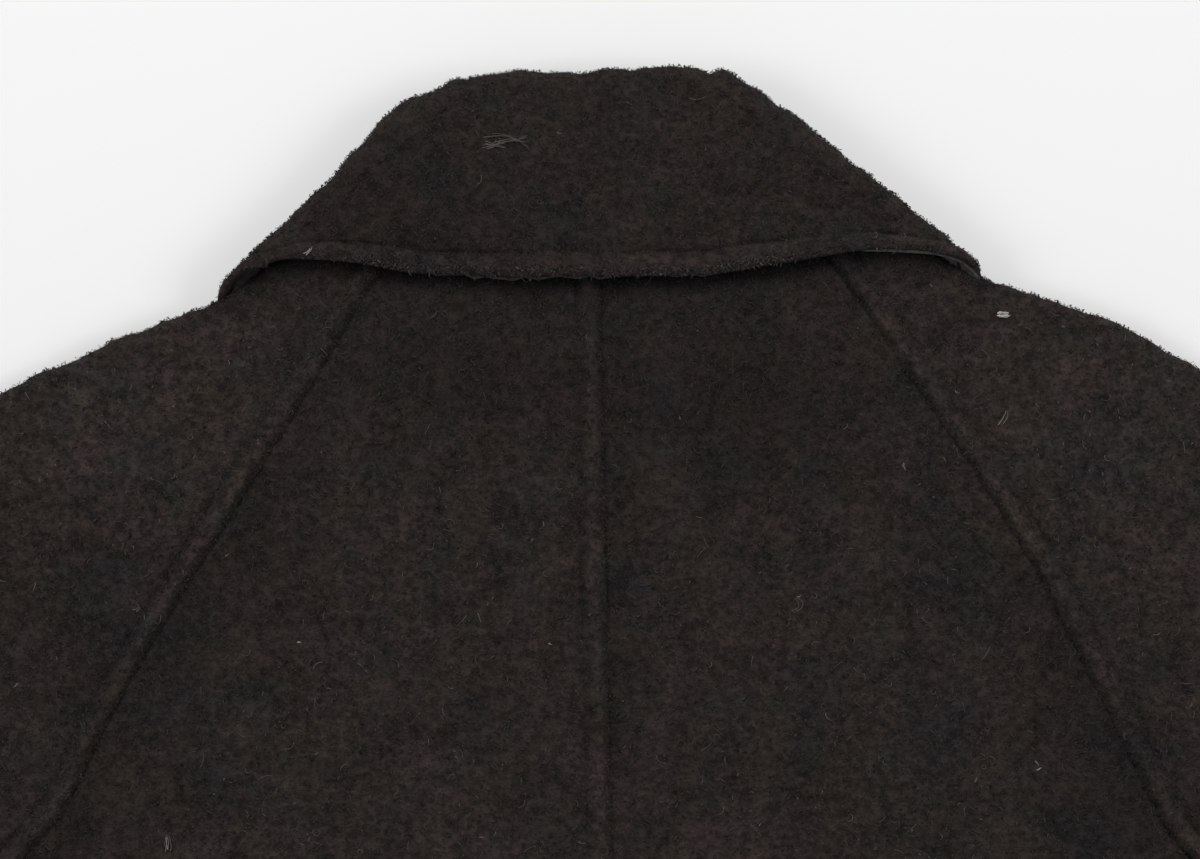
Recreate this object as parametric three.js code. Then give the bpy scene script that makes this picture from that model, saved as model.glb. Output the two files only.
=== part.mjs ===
// A cropped coat in thick brushed wool: raglan sleeves, a seam down the back and a turned-down collar.
// It lies closed on its front, with its back up, so that each layer rests on the one below.
//
// Millimetres. X runs across the back, Y towards the collar, Z up.
// "out" is the distance from the back seam, and "drop" the distance below the top of the collar.

import * as THREE from 'three';

// Cloth
const cloth = 3; // the coat's wool, with its nap
const underCloth = 1.8; // the thinner cloth of the under collar
const seamGap = 0.3; // between two pieces where they are sewn
const neckGap = 2.4; // between the collar's stand and the neckline
const layGap = 1.6; // air between the back and the fronts
const restGap = 0.8; // air between the collar and the back
const collarGap = 0.9; // air between the collar's two layers
const wool = { color: 0x272322, roughness: 1, metalness: 0 };
const felt = { color: 0x3a3634, roughness: 1, metalness: 0 };

// Body
const hemDrop = 560;
const hemRise = 5; // how much higher the hem is at the sides
const overlap = 38; // how far each front runs past the centre
const overlapStop = 40; // up to here the upper front lies at its full height
const overlapRamp = 24; // in which the upper front comes down beside the lower one
const backRamp = 130; // out to here the back comes down from the overlap
const overlapFade = { start: 90, end: 130 }; // drops between which the overlap begins to lift the back
const overlapLift = cloth + 2 * seamGap; // of the upper front, and of the back over it

// Collar: two layers folded along the roll, the under collar inside
const underOffset = seamGap + underCloth / 2;
const upperOffset = seamGap + underCloth + collarGap + cloth / 2;
const halfBundle = upperOffset + cloth / 2;
const rollPlay = 1.4; // air between the roll at the back and the folded stand under it
const rollHeight = 3 * halfBundle + rollPlay;
const leafPlay = 0.4; // air between the fronts and the collar's front part under them
const leafLift = halfBundle + leafPlay;
const peek = 1.6; // how far the under collar shows past the leaf's edge
const standClearance = 2.4; // extra height of the back over the front of the stand
const footMargin = 18; // round the collar's front part, before the cloth over it comes down
const footRamp = 100;
const centreEase = 20; // how far out the back stays level across its seam
const leafSettle = { start: 25, end: 80 }; // along the leaf, where it comes down on the back

const left = { name: 'left', sign: -1 };
const right = { name: 'right', sign: 1 };

// Where the seams and the shoulder's fold start on the neckline, counted in the collar's sections.
const neckMarks = { back: { left: 3.79, right: 4.12 }, shoulder: 6, front: 8.3 };

// Back raglan seam, from below the neckline to the underarm.
const backRaglan = [
  { drop: 62, left: 76, right: 80 },
  { drop: 90, left: 95, right: 101 },
  { drop: 120, left: 114, right: 120.5 },
  { drop: 150, left: 133.5, right: 140.5 },
  { drop: 180, left: 153, right: 159.5 },
  { drop: 210, left: 172.5, right: 176 },
  { drop: 240, left: 192, right: 191 },
  { drop: 270, left: 208, right: 205.5 },
  { drop: 300, left: 222.5, right: 220.5 },
  { drop: 326, left: 240, right: 238 },
  { drop: 350, left: 266, right: 266 },
];

// Front raglan seam, a row for each row of the back one.
const frontRaglan = [
  { drop: 117, out: 86 },
  { drop: 138, out: 103 },
  { drop: 160, out: 120 },
  { drop: 183, out: 138 },
  { drop: 207, out: 156 },
  { drop: 231, out: 174 },
  { drop: 256, out: 192 },
  { drop: 281, out: 209 },
  { drop: 306, out: 226 },
  { drop: 330, out: 245 },
  { drop: 350, out: 266 },
];

// Fold of the sleeve over the shoulder, a row for each row of the raglan seams.
const shoulder = [
  { out: 112, left: 63, right: 62 },
  { out: 136, left: 87, right: 86 },
  { out: 160, left: 92.5, right: 88.5 },
  { out: 184, left: 100.5, right: 96.5 },
  { out: 210, left: 110.5, right: 107.5 },
  { out: 238, left: 123, right: 123 },
  { out: 268, left: 139, right: 139 },
  { out: 298, left: 156.5, right: 156.5 },
  { out: 330, left: 177, right: 177 },
  { out: 364, left: 201, right: 201 },
  { out: 398, left: 226, right: 226 },
];

// The arm below the armhole: its upper fold and its underarm seam, down to the cuff.
const arm = [
  { overOut: 404, overDrop: 230.5, underOut: 273, underDrop: 355.5 },
  { overOut: 430, overDrop: 251, underOut: 304, underDrop: 381 },
  { overOut: 478, overDrop: 298, underOut: 351, underDrop: 415 },
  { overOut: 522, overDrop: 349, underOut: 395, underDrop: 452 },
  { overOut: 562, overDrop: 400, underOut: 436, underDrop: 494 },
  { overOut: 614, overDrop: 471, underOut: 492, underDrop: 556 },
  { overOut: 665, overDrop: 541, underOut: 548, underDrop: 626 },
];

// Side seam, from just below the underarm to the hem.
const sideSeam = [
  { drop: 358, out: 266.5 },
  { drop: 400, out: 268 },
  { drop: 450, out: 270 },
  { drop: 505, out: 273 },
  { drop: hemDrop - hemRise, out: 276 },
];

// The collar's sections from the back seam to the crease at the side of the neck: the centre of its
// roll, the neckline under its stand, and the edge of its leaf.
const collarBack = [
  { rollOut: 0, rollDrop: 6.5, neckOut: 0, neckDrop: 46, edgeOut: 0, edgeDrop: 81 },
  { rollOut: 16, rollDrop: 6.4, neckOut: 20, neckDrop: 46, edgeOut: 32, edgeDrop: 81 },
  { rollOut: 30, rollDrop: 6.8, neckOut: 38, neckDrop: 45.5, edgeOut: 62, edgeDrop: 79.5 },
  { rollOut: 40, rollDrop: 7.7, neckOut: 54, neckDrop: 44, edgeOut: 89, edgeDrop: 75.5 },
  { rollOut: 46, rollDrop: 8.7, neckOut: 66, neckDrop: 42, edgeOut: 112, edgeDrop: 72.5 },
  { rollOut: 50, rollDrop: 9.6, neckOut: 74, neckDrop: 40, edgeOut: 126, edgeDrop: 73 },
  { rollOut: 52, rollDrop: 10, neckOut: 82, neckDrop: 38, edgeOut: 142, edgeDrop: 81 },
];

// The same after the crease, under the fronts, down to the collar's ends.
const collarFront = [
  { rollOut: 52, rollDrop: 10, neckOut: 82, neckDrop: 38, edgeOut: 146, edgeDrop: 92 },
  { rollOut: 53, rollDrop: 24, neckOut: 82, neckDrop: 54, edgeOut: 148, edgeDrop: 112 },
  { rollOut: 51, rollDrop: 46, neckOut: 73, neckDrop: 80, edgeOut: 142, edgeDrop: 136 },
  { rollOut: 42, rollDrop: 66, neckOut: 54, neckDrop: 103, edgeOut: 122, edgeDrop: 160 },
  { rollOut: 25, rollDrop: 81, neckOut: 31, neckDrop: 117, edgeOut: 92, edgeDrop: 178 },
  { rollOut: 5, rollDrop: 89, neckOut: 2, neckDrop: 124, edgeOut: 62, edgeDrop: 190 },
];
const creaseTurns = [30, 60, 90, 120, 150]; // degrees that it has folded round, between the two
const creaseSlant = 0.5; // of the roll at the crease, in radians

const { lerp, smoothstep, degToRad } = THREE.MathUtils;
const plan = (out, drop) => new THREE.Vector2(out, -drop);

// Heights of the layers, at a place in plan.

function distanceOutside(outline, place) {
  let inside = false;
  let nearest = Infinity;
  outline.forEach((end, index) => {
    const start = outline[(index + outline.length - 1) % outline.length];
    const edge = end.clone().sub(start);
    const share = place.clone().sub(start).dot(edge) / edge.lengthSq();
    const foot = start.clone().addScaledVector(edge, THREE.MathUtils.clamp(share, 0, 1));
    nearest = Math.min(nearest, foot.distanceTo(place));
    const crosses = start.y > place.y !== end.y > place.y;
    if (crosses && place.x < start.x + ((place.y - start.y) / edge.y) * edge.x) {
      inside = !inside;
    }
  });
  return inside ? 0 : nearest;
}

function footprint(outKey, dropKey) {
  const roll = collarFront.map((row) => plan(row.rollOut, row.rollDrop));
  const far = collarFront.map((row) => plan(row[outKey], row[dropKey]));
  return [...roll, ...far.reverse()];
}

const leafFoot = footprint('edgeOut', 'edgeDrop');
const standFoot = footprint('neckOut', 'neckDrop');

// From 1 over a part of the collar's foot to 0 far from it.
function nearness(outline, x, y) {
  const out = Math.hypot(x, centreEase) - centreEase / 2;
  const distance = distanceOutside(outline, new THREE.Vector2(out, y));
  return 1 - smoothstep(distance, footMargin, footMargin + footRamp);
}

// The front part of the collar lies under the fronts and lifts them.
const onLeaf = (x, y) => leafLift * nearness(leafFoot, x, y);
function overOverlap(x, y) {
  const below = smoothstep(-y, overlapFade.start, overlapFade.end);
  return below * (1 - smoothstep(Math.abs(x), overlap, backRamp));
}

const frontHeight = (x, y) => cloth / 2 + onLeaf(x, y);
const backHeight = (x, y) =>
  frontHeight(x, y) +
  cloth +
  layGap +
  standClearance * nearness(standFoot, x, y) +
  overlapLift * overOverlap(x, y);

function upperFrontHeight(x, y) {
  const ramp = smoothstep(x, overlapStop, overlapStop + overlapRamp);
  return frontHeight(x, y) + overlapLift * (1 - ramp);
}

// The direction of a line of points at one of them, true at the line's ends too.
function tangent(pick, index, count) {
  if (index === 0) {
    return pick(1).clone().multiplyScalar(4).addScaledVector(pick(0), -3).sub(pick(2));
  }
  if (index === count - 1) {
    const end = pick(index).clone().multiplyScalar(3);
    return end.addScaledVector(pick(index - 1), -4).add(pick(index - 2));
  }
  return pick(index + 1).clone().sub(pick(index - 1));
}

// A wall of even thickness about a sheet, which is given as rows of points.
function wall(sheet, thickness) {
  const rows = sheet.length;
  const columns = sheet[0].length;
  const positions = [];
  const faces = [];
  for (const half of [thickness / 2, -thickness / 2]) {
    for (let row = 0; row < rows; row += 1) {
      for (let column = 0; column < columns; column += 1) {
        const along = tangent((index) => sheet[index][column], row, rows);
        const across = tangent((index) => sheet[row][index], column, columns);
        const normal = along.cross(across).normalize();
        positions.push(...sheet[row][column].clone().addScaledVector(normal, half).toArray());
      }
    }
  }
  const top = (row, column) => row * columns + column;
  const bottom = (row, column) => rows * columns + top(row, column);
  const quad = (a, b, c, d) => faces.push(a, b, c, a, c, d);
  for (let row = 0; row < rows - 1; row += 1) {
    for (let column = 0; column < columns - 1; column += 1) {
      const corners = [[row, column], [row + 1, column], [row + 1, column + 1], [row, column + 1]];
      quad(...corners.map((corner) => top(...corner)));
      quad(...corners.reverse().map((corner) => bottom(...corner)));
    }
    quad(top(row, 0), bottom(row, 0), bottom(row + 1, 0), top(row + 1, 0));
    const end = columns - 1;
    quad(top(row + 1, end), bottom(row + 1, end), bottom(row, end), top(row, end));
  }
  for (let column = 0; column < columns - 1; column += 1) {
    quad(top(0, column + 1), bottom(0, column + 1), bottom(0, column), top(0, column));
    const end = rows - 1;
    quad(top(end, column), bottom(end, column), bottom(end, column + 1), top(end, column + 1));
  }
  const geometry = new THREE.BufferGeometry();
  geometry.setAttribute('position', new THREE.Float32BufferAttribute(positions, 3));
  geometry.setIndex(faces);
  geometry.computeVertexNormals();
  return geometry;
}

function piece(name, sheet, thickness, finish) {
  const mesh = new THREE.Mesh(wall(sheet, thickness), new THREE.MeshStandardMaterial(finish));
  mesh.name = name;
  return mesh;
}

// Seams: each piece ends half a gap short of the line that it shares with its neighbour.

const edgeRadius = (cloth + layGap - seamGap) / 2; // of a layer that turns at a fold with a seam
const edgeLength = (Math.PI / 2) * edgeRadius;
const edgeSteps = 3;

const mirrored = (side, point) => new THREE.Vector2(side.sign * point.x, point.y);
const spread = (steps, make) => Array.from({ length: steps + 1 }, (_, step) => make(step / steps));
const edgeReach = (turned) => (turned ? edgeRadius + cloth / 2 : edgeLength);

function backSeam(side) {
  const rows = backRaglan.map((row) => plan(row[side.name], row.drop));
  return [neckPoint(neckMarks.back[side.name]), ...rows];
}

function frontSeam() {
  return [neckPoint(neckMarks.front), ...frontRaglan.map((row) => plan(row.out, row.drop))];
}

function shoulderFold(side) {
  return [neckPoint(neckMarks.shoulder), ...shoulder.map((row) => plan(row.out, row[side.name]))];
}

// Moves a line of points sideways: a positive distance is to the right of its direction.
function beside(line, distance) {
  return line.map((point, index) => {
    const before = line[Math.max(index - 1, 0)];
    const after = line[Math.min(index + 1, line.length - 1)];
    const way = after.clone().sub(before).normalize();
    return new THREE.Vector2(point.x + way.y * distance, point.y - way.x * distance);
  });
}

// A section on its places in plan, with a last stretch before its seam that runs straight on or
// turns a quarter circle towards the layer that it is sewn to.
function seamedSection(side, places, corner, height, fall, turned) {
  const start = places[places.length - 1];
  const way = corner.clone().sub(start).normalize();
  const points = places.map((place) => mirrored(side, place));
  const section = points.map((point) => new THREE.Vector3(point.x, point.y, height(point.x, point.y)));
  const level = section[section.length - 1].z;
  for (let step = 1; step <= edgeSteps; step += 1) {
    const length = (edgeLength * step) / edgeSteps;
    const angle = length / edgeRadius;
    const along = turned ? edgeRadius * Math.sin(angle) : length;
    const spot = mirrored(side, start.clone().addScaledVector(way, along));
    const turnedLevel = level + fall * edgeRadius * (1 - Math.cos(angle));
    section.push(new THREE.Vector3(spot.x, spot.y, turned ? turnedLevel : height(spot.x, spot.y)));
  }
  return section;
}

// The neckline runs just below the collar's stand, and a mark is a place on it: a whole number at
// each section of the collar, from the back seam round to the front.
const neckLine = [...collarBack, ...collarFront.slice(1)].map((row) => {
  const neck = plan(row.neckOut, row.neckDrop);
  const stand = neck.clone().sub(plan(row.rollOut, row.rollDrop)).normalize();
  return neck.addScaledVector(stand, neckGap);
});

function neckPoint(mark) {
  const low = Math.min(Math.floor(mark), neckLine.length - 2);
  return neckLine[low].clone().lerp(neckLine[low + 1], mark - low);
}

// Even steps along the neckline, from one mark to another and short of each by a margin.
function neckStretch(from, to, steps, before, after) {
  const between = neckLine.map((point, mark) => ({ point, mark }));
  const inner = between.filter(({ mark }) => (mark - from) * (mark - to) < 0);
  const ordered = from < to ? inner : inner.reverse();
  const line = new THREE.Path([neckPoint(from), ...ordered.map(({ point }) => point), neckPoint(to)]);
  const length = line.getLength();
  return spread(steps, (share) => line.getPoint(lerp(before, length - after, share) / length));
}

const straight = (from, to, steps) => spread(steps, (share) => from.clone().lerp(to, share));

// Body panels: a section runs from the centre to the raglan or side seam.

const bodySteps = 6;

function bodySheet(side, seam, neck, stops, height, fall) {
  const below = sideSeam.map((row) => plan(row.out, row.drop));
  const outer = [...beside(seam, seamGap / 2), ...below];
  const top = -outer[0].y;
  const hem = -outer[outer.length - 1].y;
  return outer.map((corner, index) => {
    if (index === 0) {
      return seamedSection(side, neck, corner, height, fall, false);
    }
    const turned = index >= seam.length;
    const drop = lerp(-neck[0].y, hemDrop, (-corner.y - top) / (hem - top));
    const inner = plan(stops[stops.length - 1], drop);
    const way = corner.clone().sub(inner).normalize();
    const start = corner.clone().addScaledVector(way, -edgeReach(turned));
    const fixed = stops.slice(0, -1).map((out) => plan(out, drop));
    const places = [...fixed, ...straight(inner, start, bodySteps - fixed.length)];
    return seamedSection(side, places, corner, height, fall, turned);
  });
}

function back(side) {
  const neck = neckStretch(0, neckMarks.back[side.name], bodySteps, seamGap / 2, edgeLength);
  const sheet = bodySheet(side, backSeam(side), neck, [seamGap / 2], backHeight, -1);
  return piece(`back_${side.name}`, sheet, cloth, wool);
}

function front(side) {
  const height = side === left ? frontHeight : upperFrontHeight;
  const curve = neckStretch(neckLine.length - 1, neckMarks.front, bodySteps - 1, 0, edgeLength);
  const neck = [plan(-overlap, -curve[0].y), ...curve];
  const sheet = bodySheet(side, frontSeam(), neck, [-overlap, 0, overlapStop], height, 1);
  return piece(`front_${side.name}`, sheet, cloth, wool);
}

// Sleeves: a section runs from the back seam, over the fold, to the front seam.

const halfSteps = 5;
const foldSteps = 6;

function sleeveHalf(side, fold, seam, neckMark, height, fall, turned) {
  const spot = mirrored(side, fold);
  const radius = (backHeight(spot.x, spot.y) - frontHeight(spot.x, spot.y)) / 2;
  const inset = radius + cloth / 2;
  const reach = edgeReach(turned);
  if (neckMark) {
    const places = neckStretch(neckMarks.shoulder, neckMark, halfSteps, inset, reach);
    return seamedSection(side, places, seam, height, fall, turned);
  }
  const way = seam.clone().sub(fold).normalize();
  const places = straight(
    fold.clone().addScaledVector(way, inset),
    seam.clone().addScaledVector(way, -reach),
    halfSteps,
  );
  return seamedSection(side, places, seam, height, fall, turned);
}

function sleeveSection(side, fold, ends, marks, turned) {
  const upper = sleeveHalf(side, fold, ends.back, marks.back, backHeight, -1, turned).reverse();
  const lower = sleeveHalf(side, fold, ends.front, marks.front, frontHeight, 1, turned);
  const top = upper[upper.length - 1];
  const bottom = lower[0];
  const centre = top.clone().lerp(bottom, 0.5);
  const radius = top.distanceTo(bottom) / 2;
  const spot = mirrored(side, fold);
  const outward = new THREE.Vector3(spot.x - centre.x, spot.y - centre.y, 0).normalize();
  const turn = spread(foldSteps, (share) => {
    const point = centre.clone().lerp(top, Math.cos(Math.PI * share));
    return point.addScaledVector(outward, radius * Math.sin(Math.PI * share));
  });
  return [...upper, ...turn.slice(1, -1), ...lower];
}

function sleeve(side) {
  const backLine = beside(backSeam(side), -seamGap / 2);
  const frontLine = beside(frontSeam(), -seamGap / 2);
  const neckEnds = { back: neckMarks.back[side.name], front: neckMarks.front };
  const sheet = shoulderFold(side).map((fold, index) => {
    const ends = { back: backLine[index], front: frontLine[index] };
    return sleeveSection(side, fold, ends, index === 0 ? neckEnds : {}, false);
  });
  for (const row of arm) {
    const under = plan(row.underOut, row.underDrop);
    const over = plan(row.overOut, row.overDrop);
    sheet.push(sleeveSection(side, over, { back: under, front: under }, {}, true));
  }
  return piece(`sleeve_${side.name}`, sheet, cloth, wool);
}

// Collar: each layer is a hairpin over the roll, from the neckline up the stand and down the leaf.

const standSteps = 2;
const rollSteps = 4;
const leafSteps = 5;

// In plan, square to the roll and towards the leaf.
function acrossRoll(line, index) {
  const before = line[Math.max(index - 1, 0)];
  const after = line[Math.min(index + 1, line.length - 1)];
  const way = plan(after.rollOut - before.rollOut, after.rollDrop - before.rollDrop).normalize();
  const sign = line === collarBack ? 1 : -1;
  return new THREE.Vector2(sign * way.y, -sign * way.x);
}

// At the crease the roll points aslant, so that both layers turn with it.
const creaseRoll = new THREE.Vector2(Math.sin(creaseSlant), -Math.cos(creaseSlant));

function collarSection(row, degrees, bulge, radius, extra) {
  const roll = plan(row.rollOut, row.rollDrop);
  const toNeck = plan(row.neckOut, row.neckDrop).sub(roll);
  const toEdge = plan(row.edgeOut, row.edgeDrop).sub(roll);
  const leafLength = toEdge.length();
  const crease = toEdge.clone().normalize();
  const outward = new THREE.Vector2(-crease.y, crease.x);
  const angle = degToRad(degrees);
  const folding = degrees > 0 && degrees < 180;
  // A place on the cloth at a step from the roll in plan, and at an offset through its layers.
  const place = (step, offset, settled) => {
    const flat = roll.clone().add(step);
    const rest = backHeight(flat.x, flat.y) + cloth / 2 + restGap;
    const high = lerp(rollHeight, rest, settled);
    const bend = (high - halfBundle) / 2 + offset;
    const aside = folding ? step.dot(outward) : 0;
    const spot = flat.addScaledVector(outward, bend * Math.sin(angle) - aside * (1 - Math.cos(angle)));
    const level = (high + halfBundle) / 2 + bend * Math.cos(angle) - aside * Math.sin(angle);
    return new THREE.Vector3(spot.x, spot.y, level);
  };
  const stand = spread(standSteps, (share) => place(toNeck.clone().multiplyScalar(1 - share), -radius, 0));
  const turn = spread(rollSteps, (share) => {
    const bend = Math.PI * (share - 0.5);
    const step = bulge.clone().multiplyScalar(-radius * Math.cos(bend));
    return place(step, radius * Math.sin(bend), 0);
  });
  const leaf = spread(leafSteps, (share) => {
    const along = leafLength * share;
    const settled = smoothstep(along, leafSettle.start, leafSettle.end);
    const step = crease.clone().multiplyScalar(along + (share === 1 ? extra : 0));
    return place(step, radius, settled);
  });
  return [...stand.slice(0, -1), ...turn, ...leaf.slice(1)];
}

function collar(name, radius, extra, thickness, finish) {
  const crease = collarBack[collarBack.length - 1];
  const folded = collarFront[0];
  const leafWay = plan(folded.edgeOut - folded.rollOut, folded.edgeDrop - folded.rollDrop).normalize();
  const acrossFold = leafWay.multiplyScalar(2 * leafWay.dot(creaseRoll)).sub(creaseRoll);
  const half = [
    ...collarBack.map((row, index) => {
      const bulge = row === crease ? creaseRoll : acrossRoll(collarBack, index);
      return collarSection(row, 0, bulge, radius, extra);
    }),
    ...creaseTurns.map((turn) => {
      const share = turn / 180;
      const edgeOut = lerp(crease.edgeOut, folded.edgeOut, share);
      const edgeDrop = lerp(crease.edgeDrop, folded.edgeDrop, share);
      return collarSection({ ...crease, edgeOut, edgeDrop }, turn, creaseRoll, radius, extra);
    }),
    ...collarFront.map((row, index) => {
      const bulge = row === folded ? acrossFold : acrossRoll(collarFront, index);
      return collarSection(row, 180, bulge, radius, extra);
    }),
  ];
  const mirror = (points) => points.map((point) => new THREE.Vector3(-point.x, point.y, point.z));
  const sheet = [...half.slice(1).reverse().map(mirror), ...half];
  return piece(name, sheet, thickness, finish);
}

// The coat, with its origin under the middle of its outline.

const coat = new THREE.Group();
for (const side of [left, right]) {
  coat.add(back(side), front(side), sleeve(side));
}
coat.add(collar('upper_collar', upperOffset, 0, cloth, wool));
coat.add(collar('under_collar', underOffset, peek, underCloth, felt));

const outline = new THREE.Box3().setFromObject(coat);
const middle = outline.getCenter(new THREE.Vector3());
coat.position.set(-middle.x, -middle.y, -outline.min.z);

export default coat;
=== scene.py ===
"""A cropped coat in thick brushed wool, laid closed on its front with its back up.

Each piece of cloth is a thin shell on the form of its solid, with its seams, stitches, creases and nap.
Tables are in millimetres: "out" from the back seam and "drop" below the top of the collar.
"""

import math

import bpy
import numpy as np
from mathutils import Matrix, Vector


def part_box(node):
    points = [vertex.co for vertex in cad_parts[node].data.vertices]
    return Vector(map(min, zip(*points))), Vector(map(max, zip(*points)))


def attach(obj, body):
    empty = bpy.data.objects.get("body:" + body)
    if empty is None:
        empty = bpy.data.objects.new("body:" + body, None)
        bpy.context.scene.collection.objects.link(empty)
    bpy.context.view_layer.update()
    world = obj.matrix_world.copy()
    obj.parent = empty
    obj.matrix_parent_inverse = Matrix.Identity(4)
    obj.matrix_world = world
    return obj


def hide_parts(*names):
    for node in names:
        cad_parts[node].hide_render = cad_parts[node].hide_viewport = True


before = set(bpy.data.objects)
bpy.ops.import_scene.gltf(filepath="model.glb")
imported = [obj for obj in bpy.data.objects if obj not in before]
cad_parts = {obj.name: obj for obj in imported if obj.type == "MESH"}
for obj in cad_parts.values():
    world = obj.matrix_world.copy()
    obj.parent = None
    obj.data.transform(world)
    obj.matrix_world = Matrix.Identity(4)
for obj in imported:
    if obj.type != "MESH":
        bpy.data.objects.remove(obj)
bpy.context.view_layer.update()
bpy.ops.object.select_all(action="DESELECT")

# ---------------------------------------------------------------------------------------------------
# Back panels: the two halves of the back, cut from thick brushed wool. A seam joins them down the
# middle, its turnings pressed to the left and stitched down. They lie on the fronts.

MM = 0.001
CLOTH = 3.0  # thickness of the wool
LAY_GAP = 1.6  # between the back and the fronts
SEAM_GAP = 0.3  # between the pieces that a seam joins
HEM_DROP = 560
COLLAR_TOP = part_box("back_left")[0].y / MM + HEM_DROP
SIDES = {"left": -1, "right": 1}  # and the sign of x there

# Back raglan seam, from the neckline to the underarm: drop, left, right
BACK_RAGLAN = np.array(
    [
        (44, 65, 68.5),
        (62, 76.5, 81.5),
        (90, 95.3, 101.1),
        (120, 114, 120.5),
        (150, 133.2, 140.7),
        (180, 153, 159.5),
        (210, 172.2, 176.4),
        (240, 191.5, 191),
        (270, 207.6, 205.6),
        (288, 216.5, 213.5),
        (300, 226, 219.5),
        (314, 238, 227),
        (330, 250, 240),
        (350, 266, 266),
    ],
    float,
)

# Side seam, from the underarm to the hem: drop, out
SIDE_SEAM = np.array([(358, 266.5), (400, 268), (450, 270), (505, 273), (555, 276)], float)


def ease(value, low, high):
    """From 0 to 1 as a value goes from low to high, without a kink."""
    share = np.clip((value - low) / (high - low), 0, 1)
    return share * share * (3 - 2 * share)


def through(rows, at):
    """A smooth curve through a table's rows, at places counted in rows."""
    rows = np.asarray(rows, float)
    padded = np.vstack([2 * rows[0] - rows[1], rows, 2 * rows[-1] - rows[-2]])
    step = np.clip(np.floor(at).astype(int), 0, len(rows) - 2)
    share = (at - step)[:, None]
    before, start, end, after = (padded[step + k] for k in range(4))
    straight = end - before
    bend = 2 * before - 5 * start + 4 * end - after
    twist = 3 * start - before - 3 * end + after
    return start + 0.5 * share * (straight + share * (bend + share * twist))


def evenly(rows, step):
    """Places on the smooth curve through the rows, about a step apart, counted in rows."""
    at = np.linspace(0, len(rows) - 1, 40 * len(rows))
    line = through(rows, at)
    length = np.concatenate([[0], np.cumsum(np.linalg.norm(np.diff(line, axis=0), axis=1))])
    count = max(2, math.ceil(length[-1] / step) + 1)
    return np.interp(np.linspace(0, length[-1], count), length, at)


def lumps(x, y, size, seed):
    """An uneven height between -1 and 1, in lumps of a size."""
    table = np.random.default_rng(seed).uniform(-1, 1, (64, 64))
    column, row = np.floor(x / size).astype(int), np.floor(y / size).astype(int)
    across, down = ease(x / size - column, 0, 1), ease(y / size - row, 0, 1)
    corner = [[table[(column + i) % 64, (row + j) % 64] for j in (0, 1)] for i in (0, 1)]
    near = corner[0][0] + (corner[0][1] - corner[0][0]) * down
    far = corner[1][0] + (corner[1][1] - corner[1][0]) * down
    return near + (far - near) * across


def from_line(line, x, y):
    """The distance of places from a line, positive on its right, and how far along it they are."""
    nearest, along = np.full(x.shape, np.inf), np.zeros(x.shape)
    side = np.ones(x.shape)
    start_length = 0.0
    for start, end in zip(line[:-1], line[1:]):
        edge = end - start
        length = math.hypot(*edge)
        share = np.clip(((x - start[0]) * edge[0] + (y - start[1]) * edge[1]) / length**2, 0, 1)
        away_x, away_y = x - start[0] - share * edge[0], y - start[1] - share * edge[1]
        distance = np.hypot(away_x, away_y)
        closer = distance < nearest
        nearest = np.where(closer, distance, nearest)
        side = np.where(closer, np.where(edge[1] * away_x - edge[0] * away_y >= 0, 1, -1), side)
        along = np.where(closer, start_length + share * length, along)
        start_length += length
    return nearest * side, along


# Where the collar's front part lies under the fronts: roll, neckline and edge of its leaf
COLLAR_FOOT = {
    "roll": np.array([(52, 10), (53, 24), (51, 46), (42, 66), (25, 81), (5, 89)], float),
    "neck": np.array([(82, 38), (82, 54), (73, 80), (54, 103), (31, 117), (2, 124)], float),
    "edge": np.array([(146, 92), (148, 112), (142, 136), (122, 160), (92, 178), (62, 190)], float),
}
HALF_BUNDLE = 5.9  # half the thickness of the folded collar
FOOT_LIFT = HALF_BUNDLE + 0.4  # of the fronts over the collar's foot
FOOT_FADE = 18, 118  # distances from the foot between which the cloth comes down again
STAND_LIFT = 2.4  # of the back over the stand, on top of that
OVERLAP_LIFT = CLOTH + 0.6  # of the back where one front lies over the other


def near_foot(part, x, y):
    """From 1 over a part of the collar's foot to 0 far from it."""
    outline = np.vstack([COLLAR_FOOT["roll"], COLLAR_FOOT[part][::-1]]) * (1, -1)
    out = np.hypot(x, 20) - 10  # the two sides' feet run together at the centre
    outline = np.vstack([outline, outline[:1]])
    distance = np.abs(from_line(outline, out, y)[0])
    inside = np.zeros(x.shape, bool)
    for start, end in zip(outline[:-1], outline[1:]):
        rise = end[1] - start[1]
        crosses = (start[1] > y) != (end[1] > y)
        reach = start[0] + (y - start[1]) / (rise if rise else 1) * (end[0] - start[0])
        inside ^= crosses & (out < reach)
    return 1 - ease(np.where(inside, 0, distance), *FOOT_FADE)


def front_height(x, y):
    """The middle of the lower layer's cloth above the surface it lies on."""
    return CLOTH / 2 + FOOT_LIFT * near_foot("edge", x, y)


def back_height(x, y):
    """The middle of the upper layer's cloth, over the fronts and their overlap."""
    overlap = ease(-y, 90, 130) * (1 - ease(np.abs(x), 38, 130))
    stand = STAND_LIFT * near_foot("neck", x, y)
    return front_height(x, y) + CLOTH + LAY_GAP + stand + OVERLAP_LIFT * overlap


STITCH_PITCH = 3.2  # from one stitch to the next
STITCH_INSET = 9.3  # of the stitches from their seam
RIDGE_INSET = 4.0  # of the ridge over the turnings


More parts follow.
